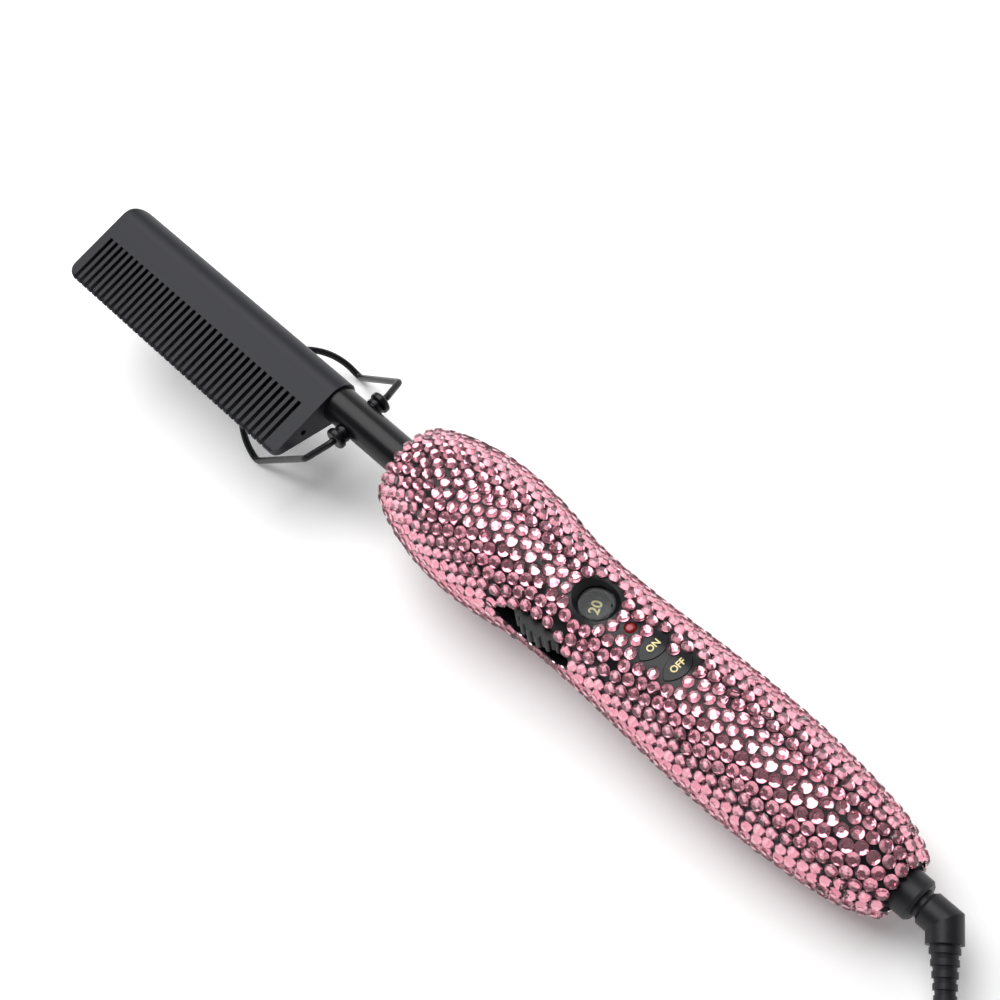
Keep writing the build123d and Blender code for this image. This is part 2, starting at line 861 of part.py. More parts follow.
# ---------------------------------------------------------------- leads inside the handle
solder_x = board_front_x + heater_lead_in
heater_lead_path = [
    (heater_rear_x, 0),
    (barrel_tail_x + lead_straight, 0),
    (wheel_x - wheel_r - lead_wheel_front, -lead_drop),
    (wheel_x + wheel_r + lead_wheel_rear, -lead_drop),
    (solder_x, board_base - heater_lead_hang),
    (solder_x, board_base),
]
with BuildPart() as heater_leads:
    for side in (lead_side, -lead_side):
        with BuildLine(lengthwise(side)) as lead_line:
            FilletPolyline(*heater_lead_path, radius=lead_bend_r)
        with BuildSketch(Plane(lead_line.line @ 0, z_dir=lead_line.line % 0)):
            Circle(lead_r)
        sweep(path=lead_line.line)
finish(heater_leads.part, "heater_leads")

mains_lead_path = [
    (block_rear_x - contact_block_length, 0),
    (board_rear_x + lead_straight, 0),
    (board_rear_x - mains_lead_turn, board_base - mains_lead_hang),
    (board_rear_x - mains_lead_in, board_base - mains_lead_hang),
    (board_rear_x - mains_lead_in, board_base),
]
with BuildPart() as mains_leads:
    for side in (lead_side, -lead_side):
        with BuildLine(lengthwise(side)) as lead_line:
            FilletPolyline(*mains_lead_path, radius=lead_bend_r)
        with BuildSketch(Plane(lead_line.line @ 0, z_dir=lead_line.line % 0)):
            Circle(lead_r)
        sweep(path=lead_line.line)
finish(mains_leads.part, "mains_leads")

# ---------------------------------------------------------------- strain relief
relief_length = relief_end - elbow_leg
relief_plane = Plane(
    spot(*down_exit(elbow_leg)), x_dir=exit_world, z_dir=exit_world.cross(Vector(0, 0, 1))
)
relief_axis = Axis(relief_plane.origin, exit_world)


def relief_radius(distance):
    """Radius of the ribs, which shrinks fast at first and then levels out."""
    left = 1 - distance / relief_length
    return relief_tip_r + (relief_top_r - relief_tip_r) * left**2


relief_ribs = int(relief_length / relief_pitch)
with BuildPart() as strain_relief:
    with BuildSketch(relief_plane):
        with BuildLine():
            Spline(
                (0, relief_radius(0) - relief_rib),
                (relief_length / 2, relief_radius(relief_length / 2) - relief_rib),
                (relief_length, relief_tip_r - relief_rib / 2),
            )
            Polyline(
                (relief_length, relief_tip_r - relief_rib / 2),
                (relief_length, 0),
                (0, 0),
                (0, relief_radius(0) - relief_rib),
            )
        make_face()
        for rib in range(relief_ribs):
            middle = relief_pitch * (rib + 0.5)
            with Locations((middle, 0)):
                Rectangle(relief_rib_width, relief_radius(middle), align=(Align.CENTER, Align.MIN))
    revolve(axis=relief_axis)
finish(strain_relief.part, "strain_relief")

# ---------------------------------------------------------------- mains cord
cord_d = 2 * cord_r
cord_start = spot(*down_exit(relief_end))
coil_out_r = coil_mid_r + coil_rows * cord_d / 2
coil_in_r = coil_mid_r - coil_rows * cord_d / 2
coil_turn_r = coil_out_r - cord_r
coil_base = tie_thick + cord_gap
coil_height = coil_layers * cord_d


def pointing(angle):
    """Level direction at an angle, in degrees from +X."""
    return Vector(cos(radians(angle)), sin(radians(angle)), 0)


def onward(point, angle, distance, height):
    """Point a level distance on from another, at an angle and a height."""
    ahead = point + pointing(angle) * distance
    return Vector(ahead.X, ahead.Y, height)


def free_radii(points):
    """Largest arcs that two runs leave room for at each corner of a route."""
    radii = []
    for before, here, after in zip(points, points[1:], points[2:]):
        run_in = here - before
        run_out = after - here
        half_turn = radians(run_in.get_angle(run_out)) / 2
        radii.append(arc_share * min(run_in.length, run_out.length) / tan(half_turn))
    return radii


first_lane = coil_base + cord_r
cord_heading = degrees(atan2(exit_world.Y, exit_world.X))
corner = (coil_heading - cord_heading) / 3
cord_route = [cord_start, cord_start + exit_world * cord_leg]
cord_route.append(onward(cord_route[-1], cord_heading + corner, 2 * cord_leg, first_lane))
cord_route.append(onward(cord_route[-1], cord_heading + 2 * corner, 2 * cord_leg, first_lane))
cord_route.append(onward(cord_route[-1], coil_heading, cord_leg, first_lane))
with BuildPart() as cord_run:
    with BuildLine() as run_line:
        FilletPolyline(*cord_route, radius=free_radii(cord_route))
    with BuildSketch(Plane(cord_route[0], z_dir=cord_route[1] - cord_route[0])):
        Circle(cord_r)
    sweep(path=run_line.line)
finish(cord_run.part, "cord_run")

coil_middle = onward(cord_route[-1], coil_heading + 90, coil_turn_r, coil_base)
with BuildPart() as cord_coil:
    with BuildSketch(Plane(coil_middle, x_dir=(1, 0, 0), z_dir=(0, -1, 0))):
        with Locations((coil_mid_r, coil_height / 2)):
            RectangleRounded(coil_out_r - coil_in_r, coil_height, coil_round)
    revolve(axis=Axis(coil_middle, (0, 0, 1)))
finish(cord_coil.part, "cord_coil")

tie_dir = pointing(tie_angle)
tie_centre = onward(coil_middle, tie_angle, coil_mid_r, coil_base + coil_height / 2)
band_width = coil_out_r - coil_in_r + 2 * tie_slack
band_height = coil_height + 2 * cord_gap
with BuildPart() as cord_tie:
    with BuildSketch(Plane(tie_centre, x_dir=tie_dir, z_dir=tie_dir.cross(Vector(0, 0, 1)))):
        RectangleRounded(band_width + 2 * tie_thick, band_height + 2 * tie_thick, cord_r)
        RectangleRounded(band_width, band_height, cord_r - tie_thick, mode=Mode.SUBTRACT)
    extrude(amount=tie_width / 2, both=True)
finish(cord_tie.part, "cord_tie")

# the cord leaves the coil's middle layer and runs to the plug at the height of its neck
leave_heading = leave_angle + 90
plug_heading = leave_heading + 2 * leave_bend
leave_lane = coil_base + cord_d + cord_r
first_leg, second_leg, last_leg = leave_legs
lead_out = [onward(coil_middle, leave_angle, coil_turn_r, leave_lane)]
lead_out.append(onward(lead_out[-1], leave_heading, first_leg, leave_lane))
lead_out.append(onward(lead_out[-1], leave_heading + leave_bend, second_leg, plug_thick / 2))
lead_out.append(onward(lead_out[-1], plug_heading, last_leg, plug_thick / 2))
with BuildPart() as cord_end:
    with BuildLine() as end_line:
        FilletPolyline(*lead_out, radius=free_radii(lead_out))
    with BuildSketch(Plane(lead_out[0], z_dir=lead_out[1] - lead_out[0])):
        Circle(cord_r)
    sweep(path=end_line.line)
finish(cord_end.part, "cord_end")

# ---------------------------------------------------------------- plug
plug_dir = pointing(plug_heading)
plug_start = lead_out[-1]


def plug_plane(distance):
    """Plane square to the plug, a distance past the cord's end of its neck."""
    return Plane(plug_start + plug_dir * distance, x_dir=pointing(plug_heading + 90), z_dir=plug_dir)


with BuildPart() as plug_body:
    with BuildSketch(plug_plane(plug_neck)):
        RectangleRounded(plug_rear_width, plug_rear_thick, plug_rear_round)
    with BuildSketch(plug_plane(plug_neck + plug_front)):
        RectangleRounded(plug_width, plug_thick, plug_round)
    loft(ruled=True)
    with BuildSketch(plug_plane(plug_neck + plug_front)):
        RectangleRounded(plug_width, plug_thick, plug_round)
    extrude(amount=plug_length - plug_front)
    with BuildSketch(plug_plane(0)):
        Circle(plug_neck_tip_r)
    with BuildSketch(plug_plane(plug_neck)):
        Circle(plug_neck_r)
    loft()
finish(plug_body.part, "plug_body")

with BuildPart() as plug_blades:
    with BuildSketch(plug_plane(plug_neck + plug_length)):
        with GridLocations(plug_blade_spacing, 0, 2, 1):
            Rectangle(plug_blade_thick, plug_blade_width)
    extrude(amount=plug_blade_length)
finish(plug_blades.part, "plug_blades")

for name, points, line, tube in (
    ("run", cord_route, run_line.line, cord_run.part),
    ("end", lead_out, end_line.line, cord_end.part),
):
    radii = [round(r, 1) for r in free_radii(points)]
    length = sum(edge.length for edge in line.edges())
    full = tube.volume / (length * pi * cord_r**2)
    print(f"cord {name}: length {length:.1f}, radii {radii}, volume {full:.4f} of a round tube")
print(f"tilt {degrees(rest_tilt):.3f}, hinge {tool.origin}, cord starts {cord_start}")
print(f"coil middle {coil_middle}, plug starts {plug_start}")
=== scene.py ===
"""Looks of the electric hot comb: black coated comb, crystal-covered handle, wire stand, swivel cord."""

import json
import math
import random

import bmesh
import bpy
from mathutils import Matrix, Vector
from mathutils.bvhtree import BVHTree
from mathutils.kdtree import KDTree


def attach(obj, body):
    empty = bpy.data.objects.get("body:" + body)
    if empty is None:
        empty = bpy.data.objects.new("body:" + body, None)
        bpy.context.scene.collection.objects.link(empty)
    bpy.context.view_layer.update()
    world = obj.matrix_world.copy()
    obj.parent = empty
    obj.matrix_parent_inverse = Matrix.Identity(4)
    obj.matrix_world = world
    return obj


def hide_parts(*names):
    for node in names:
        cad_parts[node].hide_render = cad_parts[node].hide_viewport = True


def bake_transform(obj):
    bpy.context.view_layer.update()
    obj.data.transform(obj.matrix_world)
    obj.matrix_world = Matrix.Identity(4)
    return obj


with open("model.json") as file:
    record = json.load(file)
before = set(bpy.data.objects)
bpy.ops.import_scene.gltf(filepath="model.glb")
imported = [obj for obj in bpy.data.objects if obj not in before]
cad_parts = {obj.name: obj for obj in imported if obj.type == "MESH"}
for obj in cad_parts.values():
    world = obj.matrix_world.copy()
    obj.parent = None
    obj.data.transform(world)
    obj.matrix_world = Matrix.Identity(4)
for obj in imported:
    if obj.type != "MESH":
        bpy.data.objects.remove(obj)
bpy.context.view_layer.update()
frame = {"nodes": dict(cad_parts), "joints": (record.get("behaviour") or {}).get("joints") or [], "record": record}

random.seed(12)
MM = 0.001

# ------------------------------------------------------------------ the tool's own frame
# Stations run along the tool's axis from the stand's hinge, x to the cord, y to the comb's
# spine, z up through the buttons, all in millimetres. TOOL takes them to the row frame in metres.
joints = {joint["name"]: joint for joint in frame["joints"]}
tool_x = Vector(joints["cord_swivel"]["axis"]).normalized()
tool_z = Vector(joints["dial_turn"]["axis"]).normalized()
tool_y = tool_z.cross(tool_x)
turned = Matrix((tool_x, tool_y, tool_z)).transposed().to_4x4()
TOOL = Matrix.Translation(joints["stand_hinge"]["pos_m"]) @ turned @ Matrix.Scale(MM, 4)
TOOL_BACK = TOOL.inverted()


def spot(x, y=0.0, z=0.0):
    """A point of the tool's frame, in metres in the row frame."""
    return TOOL @ Vector((x, y, z))


def span(node):
    """Lowest and highest corners of a CAD node in the tool's frame, in millimetres."""
    corners = [TOOL_BACK @ v.co for v in frame["nodes"][node].data.vertices]
    low = Vector([min(c[i] for c in corners) for i in range(3)])
    high = Vector([max(c[i] for c in corners) for i in range(3)])
    return low, high


def middle(node):
    """Centre of a CAD node's box in the tool's frame."""
    low, high = span(node)
    return (low + high) / 2


# ------------------------------------------------------------------ camera
camera_place = spot(258.9, -139.2, 403.4)
camera_right = turned.to_3x3() @ Vector((0.68326, 0.72315, -0.10102))
camera_forward = turned.to_3x3() @ Vector((-0.44855, 0.30653, -0.83955))
focal_length = 71.41


def make_camera():
    """Camera over the cord's end of the tool, rolled so that the tool runs down to the right."""
    camera = bpy.data.objects.new("camera", bpy.data.cameras.new("camera"))
    bpy.context.scene.collection.objects.link(camera)
    camera.data.lens = focal_length
    camera.data.clip_start = 0.01
    back = -camera_forward.normalized()
    right = (camera_right - camera_right.dot(back) * back).normalized()
    up = back.cross(right)
    turn = Matrix((right, up, back)).transposed().to_4x4()
    camera.matrix_world = Matrix.Translation(camera_place) @ turn
    bpy.context.scene.camera = camera


make_camera()


# ------------------------------------------------------------------ materials
def colour(code):
    """An sRGB hex value as the linear colour that shaders take."""
    parts = [int(code[i : i + 2], 16) / 255 for i in (1, 3, 5)]
    linear = [p / 12.92 if p <= 0.04045 else ((p + 0.055) / 1.055) ** 2.4 for p in parts]
    return (*linear, 1.0)


def add(tree, kind, settings=(), values=(), links=()):
    """Adds one node with its settings, its plain input values and the sockets that feed it."""
    made = tree.nodes.new(kind)
    for name, value in dict(settings).items():
        setattr(made, name, value)
    for name, value in dict(values).items():
        made.inputs[name].default_value = value
    for name, source in dict(links).items():
        tree.links.new(source, made.inputs[name])
    return made


def blend(tree, share, first, second):
    """Socket of a colour between two hex values."""
    mix = add(tree, "ShaderNodeMix", {"data_type": "RGBA"}, links={"Factor": share})
    mix.inputs[6].default_value = colour(first)
    mix.inputs[7].default_value = colour(second)
    return mix.outputs[2]


def blank(name):
    """A material with its Principled shader and node tree."""
    material = bpy.data.materials.new(name)
    material.use_nodes = True
    return material, material.node_tree, material.node_tree.nodes["Principled BSDF"]


def grain(tree, shader, size_mm, pale, dark, rough, depth_mm, detail=2.0):
    """Mottles a surface's colour, roughness and relief at one grain size."""
    place = add(tree, "ShaderNodeTexCoord").outputs["Object"]
    noise = add(
        tree,
        "ShaderNodeTexNoise",
        values={"Scale": 1 / (size_mm * MM), "Detail": detail, "Roughness": 0.6},
        links={"Vector": place},
    )
    tree.links.new(blend(tree, noise.outputs["Fac"], dark, pale), shader.inputs["Base Color"])
    spread = add(
        tree,
        "ShaderNodeMapRange",
        values={"To Min": rough[0], "To Max": rough[1]},
        links={"Value": noise.outputs["Fac"]},
    )
    tree.links.new(spread.outputs["Result"], shader.inputs["Roughness"])
    bump = add(
        tree,
        "ShaderNodeBump",
        values={"Strength": 1.0, "Distance": depth_mm * MM},
        links={"Height": noise.outputs["Fac"]},
    )
    tree.links.new(bump.outputs["Normal"], shader.inputs["Normal"])


def ceramic_coat():
    """Ceramic spray coat on cast metal: an even charcoal with a wide soft sheen."""
    material, tree, shader = blank("ceramic_coat")
    grain(tree, shader, 0.35, "#191a24", "#15151e", (0.42, 0.52), 0.004)
    shader.inputs["Specular IOR Level"].default_value = 0.3
    return material


def baked_enamel(name, pale, dark, rough):
    """Baked enamel on drawn steel: near black, with long clear highlights."""
    material, tree, shader = blank(name)
    grain(tree, shader, 0.5, pale, dark, rough, 0.002)
    shader.inputs["Specular IOR Level"].default_value = 0.28
    return material


def moulded_plastic(name, pale, dark, rough, size_mm=0.6, depth_mm=0.004):
    """Injection-moulded plastic: an even colour with the mould's fine skin."""
    material, tree, shader = blank(name)
    grain(tree, shader, size_mm, pale, dark, rough, depth_mm)
    shader.inputs["Specular IOR Level"].default_value = 0.3
    return material


def plain_metal(name, code, rough):
    """Bare metal with fine rubbed grain."""
    material, tree, shader = blank(name)
    grain(tree, shader, 0.3, code, code, rough, 0.002)
    shader.inputs["Metallic"].default_value = 1.0
    return material


def cut_crystal():
    """Pressed crystal glass, rose tinted: clear polished facets over a mirror foil."""
    material, tree, shader = blank("rose_crystal")
    stone = add(tree, "ShaderNodeAttribute", {"attribute_name": "stone"})
    tree.links.new(blend(tree, stone.outputs["Fac"], "#ffb4c6", "#ffc4d2"), shader.inputs["Base Color"])
    shader.inputs["Roughness"].default_value = 0.02
    shader.inputs["IOR"].default_value = 1.56
    shader.inputs["Transmission Weight"].default_value = 0.94
    return material


def mirror_foil():
    """Silver foil round the back and the girdle of each stone."""
    material, tree, shader = blank("mirror_foil")
    shader.inputs["Base Color"].default_value = colour("#f8e6ea")
    shader.inputs["Metallic"].default_value = 1.0
    shader.inputs["Roughness"].default_value = 0.12
    return material


def clear_lens():
    """Polished clear acrylic."""
    material, tree, shader = blank("clear_lens")
    shader.inputs["Base Color"].default_value = colour("#f4f6f7")
    shader.inputs["Roughness"].default_value = 0.03
    shader.inputs["IOR"].default_value = 1.22
    shader.inputs["Transmission Weight"].default_value = 1.0
    return material


def lamp_red():
    """Dark red polycarbonate over an unlit lamp."""
    material, tree, shader = blank("lamp_red")
    grain(tree, shader, 1.2, "#b01222", "#7a0b18", (0.12, 0.2), 0.002)
    shader.inputs["IOR"].default_value = 1.58
    return material


def printed_ink():
    """Pale gold pad-printed ink, slightly uneven."""
    material, tree, shader = blank("printed_ink")
    grain(tree, shader, 0.25, "#fff2b6", "#f3e298", (0.45, 0.6), 0.004)
    return material


LOOKS = {
    "comb_coating": ceramic_coat(),
    "barrel_black": baked_enamel("barrel_enamel", "#0f0f13", "#0b0b0f", (0.26, 0.34)),
    "stand_wire": baked_enamel("wire_enamel", "#161619", "#111114", (0.28, 0.36)),
    "heater_steel": plain_metal("heater_steel", "#b9b5ae", (0.35, 0.45)),
    "plain_steel": plain_metal("zinc_steel", "#c4c4c2", (0.25, 0.35)),
    "shell_black": moulded_plastic("shell_plastic", "#141418", "#0f0f12", (0.25, 0.35)),
    "heat_plastic": moulded_plastic("heat_plastic", "#2a2a2a", "#232323", (0.55, 0.65)),
    "lens_clear": clear_lens(),
    "dial_black": moulded_plastic("dial_plastic", "#19191c", "#131316", (0.4, 0.5)),
    "lamp_red": lamp_red(),
    "board_green": moulded_plastic("board_varnish", "#1f5a3a", "#184a2f", (0.3, 0.4)),
    "lead_insulation": moulded_plastic("lead_sleeve", "#cfcab9", "#bdb7a4", (0.7, 0.8)),
    "swivel_black": moulded_plastic("swivel_plastic", "#232327", "#1c1c20", (0.35, 0.45)),
    "cord_rubber": moulded_plastic("cord_jacket", "#232327", "#1c1c20", (0.42, 0.52), 0.8, 0.01),
    "plug_black": moulded_plastic("plug_plastic", "#242427", "#1d1d20", (0.45, 0.55), 0.5, 0.01),
    "blade_brass": plain_metal("plated_brass", "#d9c48e", (0.18, 0.28)),
    "crystal_pink": cut_crystal(),
}
INK = printed_ink()
FOIL = mirror_foil()

for part in frame["record"]["subparts"]:
    mesh = frame["nodes"][part["node"]].data
    mesh.materials.clear()
    mesh.materials.append(LOOKS[part["material_slot"]])


def piece(name, bm, body, slot, *materials):
    """Makes a piece from a bmesh in the row frame. The stage has no body. The slot argument is not used."""
    mesh = bpy.data.meshes.new(name)
    bm.to_mesh(mesh)
    bm.free()
    made = bpy.data.objects.new(name, mesh)
    bpy.context.scene.collection.objects.link(made)
    for material in materials:
        mesh.materials.append(material)
    if body:
        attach(made, body)
    return made


# ------------------------------------------------------------------ mains cord
cord_d = 3.8
relief_tip = Vector((153.92, -16.39, 5.65))
coil_centre = Vector((203.51, -10.66, 0))
coil_mid_r = 22.8
coil_base = 0.6
coil_rows = 4
coil_start = -90.0
coil_end = -80.0
points_per_turn = 16
lane_change = (0.55, 0.4)  # where in a turn the cord moves to its next lane, and over how much
plug_start = Vector((232.5, -29.42, 6.5))
tube_sides = 6


def coil_lanes():
    """Lanes of the coil's turns as (row, layer): in along the table, then up and down outwards."""
    lanes = [(row, 0) for row in reversed(range(coil_rows))]
    for row in range(coil_rows):
        lanes += [(row, 1), (row, 2)] if row % 2 == 0 else [(row, 2), (row, 1)]
    return lanes


def coil_points():
    """Control points of the coil, from the cord's arrival round to its leaving."""
    lanes = coil_lanes()
    whole = len(lanes) - 1
    change_at, change_over = lane_change
    total = whole + (coil_end - coil_start) / 360
    swing = math.cos(math.pi / points_per_turn)
    points = []
    steps = round(total * points_per_turn)
    for step in range(steps + 1):
        turn = step / points_per_turn
        lane = min(int(turn), whole)
        change = min(max((turn - lane - change_at) / change_over, 0), 1) if lane < whole else 0
        change = change * change * (3 - 2 * change)
        here = Vector(lanes[lane])
        there = Vector(lanes[min(lane + 1, whole)])
        row, layer = here.lerp(there, change)
        r = coil_mid_r + (row - (coil_rows - 1) / 2) * cord_d
        r *= 2 / (1 + swing)
        a = math.radians(coil_start) + 2 * math.pi * turn
        z = coil_base + cord_d * (layer + 0.5)
        points.append(coil_centre + Vector((r * math.cos(a), r * math.sin(a), z)))
    return points


cord_route = [
    relief_tip,
    Vector((159.88, -23.39, 3.22)),
    Vector((175.81, -33.76, 2.5)),
    Vector((194.01, -39.16, 2.5)),
    *coil_points(),
    Vector((214.37, -37.69, 6.3)),
    Vector((224.71, -33.92, 6.5)),
    plug_start,
]


def route_curve(name, points):
    """A NURBS curve with the points as its control points, in metres."""
    data = bpy.data.curves.new(name, "CURVE")
    data.dimensions = "3D"
    spline = data.splines.new("NURBS")
    spline.points.add(len(points) - 1)
    for control, point in zip(spline.points, points):
        control.co = (*(point * MM), 1)
    spline.order_u = 3
    spline.use_endpoint_u = True
    spline.resolution_u = 3
    curve = bpy.data.objects.new(name, data)
    bpy.context.scene.collection.objects.link(curve)
    return curve


def mains_cord():
    """The cord from the relief's tip through its coil to the plug, as one smooth tube."""
    curve = route_curve("route", cord_route)
    line = bpy.data.meshes.new_from_object(curve)
    curve.data.bevel_depth = cord_d / 2 * MM
    curve.data.bevel_resolution = tube_sides
    curve.data.use_fill_caps = True
    bpy.context.view_layer.update()
    mesh = bpy.data.meshes.new_from_object(curve)
    bpy.data.objects.remove(curve)
    cord = bpy.data.objects.new("mains_cord", mesh)
    bpy.context.scene.collection.objects.link(cord)
    mesh.materials.clear()
    mesh.materials.append(LOOKS["cord_rubber"])
    for face in mesh.polygons:
        face.use_smooth = True
    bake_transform(cord)
    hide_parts("cord_run", "cord_coil", "cord_end")


mains_cord()

# ------------------------------------------------------------------ crystals
stone_d = 3.28
stone_h = 1.3
stone_girdle = 0.2
stone_sides = 16
table_share = 0.52
small_shares = (0.84, 0.62)  # widths of the smaller stones, as shares of a full one
small_tries = (4000, 8000)
full_tries = 3000
stone_pitch = 3.3
stone_rings = 55
ring_shift = 0.4  # extra turn, in radians, where a ring's count of stones changes
most_in_ring = 36
nose_room = 2.2
tail_room = 0.3
packings = 3
settle_rounds = 14
glue = 0.04
lean_spread = 0.04
size_spread = (0.97, 1.02)

# How near two stones may stand, as shares of touching: laid in rings, set in gaps, and small.
ring_share = 0.86
gap_share = 0.84
small_share = 0.92

# How a stone is moved while the stones settle: the room it wants, and how much of it per round.
settle_share = 1.03
settle_push = 0.4
opening_share = 0.95
opening_push = 0.8

# Openings: a pointed oval is half its length, half its width and its number of discs.
bezel_stones = 15
bezel_turn = 0.3
rim_overlap = 0.5
lamp_room = 1.9
key_oval = (4.5, 2.6, 7)
slot_oval = (12.0, 4.4, 11)
slot_z = 2.8
oval_share = 0.92
top_above_z = 4
side_below_y = -4

underside = math.pi  # angle round the handle from the top
profile_step = 0.25
far_out = 40.0


def shell_rays():
    """A ray caster on the two handle shells, in the tool's frame."""
    points, faces = [], []
    for name in ("handle_top_shell", "handle_bottom_shell"):
        mesh = frame["nodes"][name].data
        first = len(points)
        points += [TOOL_BACK @ v.co for v in mesh.vertices]
        faces += [[first + i for i in face.vertices] for face in mesh.polygons]
    return BVHTree.FromPolygons(points, faces)


SHELL = shell_rays()


def cast(x, angle):
    """Where a line from outside meets the handle, by station and angle from the top."""
    out = Vector((0, math.sin(angle), math.cos(angle)))
    return SHELL.ray_cast(Vector((x, 0, 0)) + out * far_out, -out)[0]


def handle_profile():
    """Stations and radii along the handle's plain underside, with the length along its skin."""
    low, high = span("handle_bottom_shell")
    profile = []
    x = low.x + profile_step / 5
    while x < high.x:
        place = cast(x, underside)
        if place:
            r = math.hypot(place.y, place.z)
            if profile:
                px, pr, ps = profile[-1]
                profile.append((x, r, ps + math.hypot(x - px, r - pr)))
            else:
                profile.append((x, r, 0.0))
        x += profile_step
    return profile


PROFILE = handle_profile()


def at_length(s):
    """Station, radius and slope of the handle's skin at a length along it."""
    s = min(max(s, PROFILE[0][2]), PROFILE[-1][2] - 1e-6)
    low, high = 0, len(PROFILE) - 1
    while high - low > 1:
        half = (low + high) // 2
        if PROFILE[half][2] <= s:
            low = half
        else:
            high = half
    (x0, r0, s0), (x1, r1, s1) = PROFILE[low], PROFILE[high]
    t = (s - s0) / (s1 - s0)
    return x0 + (x1 - x0) * t, r0 + (r1 - r0) * t, math.atan2(r1 - r0, x1 - x0)


def on_skin(s, angle):
    """Point on the handle's skin and its outward direction."""
    x, r, slope = at_length(s)
    out = Vector((0, math.sin(angle), math.cos(angle)))
    normal = out * math.cos(slope) - Vector((1, 0, 0)) * math.sin(slope)
    return Vector((x, 0, 0)) + out * r, normal


def oval_discs(half_length, half_width, count):
    """Discs that fill a pointed oval: places along its length and their radii."""
    bow = (half_length**2 - half_width**2) / (2 * half_width)
    arc = bow + half_width
    discs = []
    for i in range(count):
        t = half_length * (2 * i / (count - 1) - 1) * oval_share
        discs.append((t, math.sqrt(arc * arc - t * t) - bow))
    return discs


def openings():
    """Discs of the handle's openings, seen from the top or from the teeth side."""
    top, side = [], []
    window, lamp = middle("dial_window_bezel"), middle("indicator_lens")
    low, high = span("dial_window_bezel")
    top.append((window.x, window.y, (high.y - low.y) / 2 - rim_overlap))
    top.append((lamp.x, lamp.y, lamp_room))
    for name in ("on_button", "off_button"):
        centre = middle(name)
        for t, r in oval_discs(*key_oval):
            top.append((centre.x, centre.y + t, r))
    dial = middle("temperature_dial")
    for t, r in oval_discs(*slot_oval):
        side.append((dial.x + t, slot_z, r))
    return top, side


TOP_DISCS, SIDE_DISCS = openings()


def push_out(place, r, share=1.0):
    """How far and which way an opening pushes a stone, seen square to the opening."""
    push = Vector((0, 0, 0))
    if place.z > top_above_z:
        for x, y, room in TOP_DISCS:
            away = Vector((place.x - x, place.y - y, 0))
            lack = room + r * share - away.length
            if lack > 0:
                push += away.normalized() * lack
    if place.y < side_below_y:
        for x, z, room in SIDE_DISCS:
            away = Vector((place.x - x, 0, place.z - z))
            lack = room + r * share - away.length
            if lack > 0:
                push += away.normalized() * lack
    return push


def round_window():
    """Stones that stand round the window, edge to edge."""
    window = middle("dial_window_bezel")
    low, high = span("dial_window_bezel")
    reach = (high.y - low.y) / 2 + stone_d / 2 - rim_overlap
    places = []
    for i in range(bezel_stones):
        a = 2 * math.pi * (i + bezel_turn) / bezel_stones
        x, y = window.x + reach * math.cos(a), window.y + reach * math.sin(a)
        s = next(s for station, _, s in PROFILE if station >= x)
        r = at_length(s)[1]
        places.append([s, math.asin(y / r), stone_d / 2])
    return places


def lattice():
    """First places of the stones: rings round the handle, each set between those before."""
    places = []
    ring_step = (PROFILE[-1][2] - nose_room - tail_room) / (stone_rings - 1)
    phase = 0.0
    before = 0
    for ring in range(stone_rings):
        s = nose_room + ring * ring_step
        r = at_length(s)[1]
        count = round(2 * math.pi * r / stone_pitch)
        phase += math.pi / count if count == before else math.pi / count + ring_shift
        before = count
        for i in range(count):
            places.append([s, 2 * math.pi * i / count + phase, stone_d / 2])
    return places


def settle(places, fixed, rounds):
    """Moves stones off each other and off the openings, along the handle's skin."""
    held = [(on_skin(s, a)[0], r) for s, a, r in fixed]
    length = PROFILE[-1][2]
    for _ in range(rounds):
        points = [on_skin(s, a)[0] for s, a, _ in places]
        tree = KDTree(len(points))
        for i, point in enumerate(points):
            tree.insert(point, i)
        tree.balance()
        for i, point in enumerate(points):
            r = places[i][2]
            push = push_out(point, r, opening_share) * opening_push
            for other, j, distance in tree.find_range(point, stone_pitch):
                lack = (r + places[j][2]) * settle_share - distance
                if j != i and lack > 0 and distance > 1e-6:
                    push += (point - other) / distance * lack * settle_push
            for other, other_r in held:
                away = point - other
                lack = r + other_r - away.length
                if lack > 0 and away.length > 1e-6:
                    push += away.normalized() * lack
            if push.length < 1e-6:
                continue
            _, radius, slope = at_length(places[i][0])
            out = Vector((0, math.sin(places[i][1]), math.cos(places[i][1])))
            along = Vector((1, 0, 0)) * math.cos(slope) + out * math.sin(slope)
            round_way = Vector((0, math.cos(places[i][1]), -math.sin(places[i][1])))
            places[i][0] += push.dot(along)
            places[i][1] += push.dot(round_way) / max(radius, 1)
            places[i][0] = min(max(places[i][0], nose_room), length - tail_room)
    return places


def seats(places):
    """Search tree over the seats of stones."""
    tree = KDTree(len(places))
    for i, (s, angle, _) in enumerate(places):
        tree.insert(on_skin(s, angle)[0], i)
    tree.balance()
    return tree


def clear_of(point, r, places, tree, share):
    """Whether a stone keeps its distance from those already seated."""
    for _, i, distance in tree.find_range(point, stone_d):
        if distance < (r + places[i][2]) * share:
            return False
    return True


def thin_out(places, fixed, share):
    """Leaves out stones that still sit on another or over an opening."""
    kept = []
    held = seats(fixed)
    for place in places:
        point = on_skin(place[0], place[1])[0]
        if push_out(point, place[2], 0.75).length > 0:
            continue
        if not clear_of(point, place[2], fixed, held, share):
            continue
        near = kept[-2 * most_in_ring :]
        if all((on_skin(q[0], q[1])[0] - point).length >= stone_d * share for q in near):
            kept.append(place)
    return kept


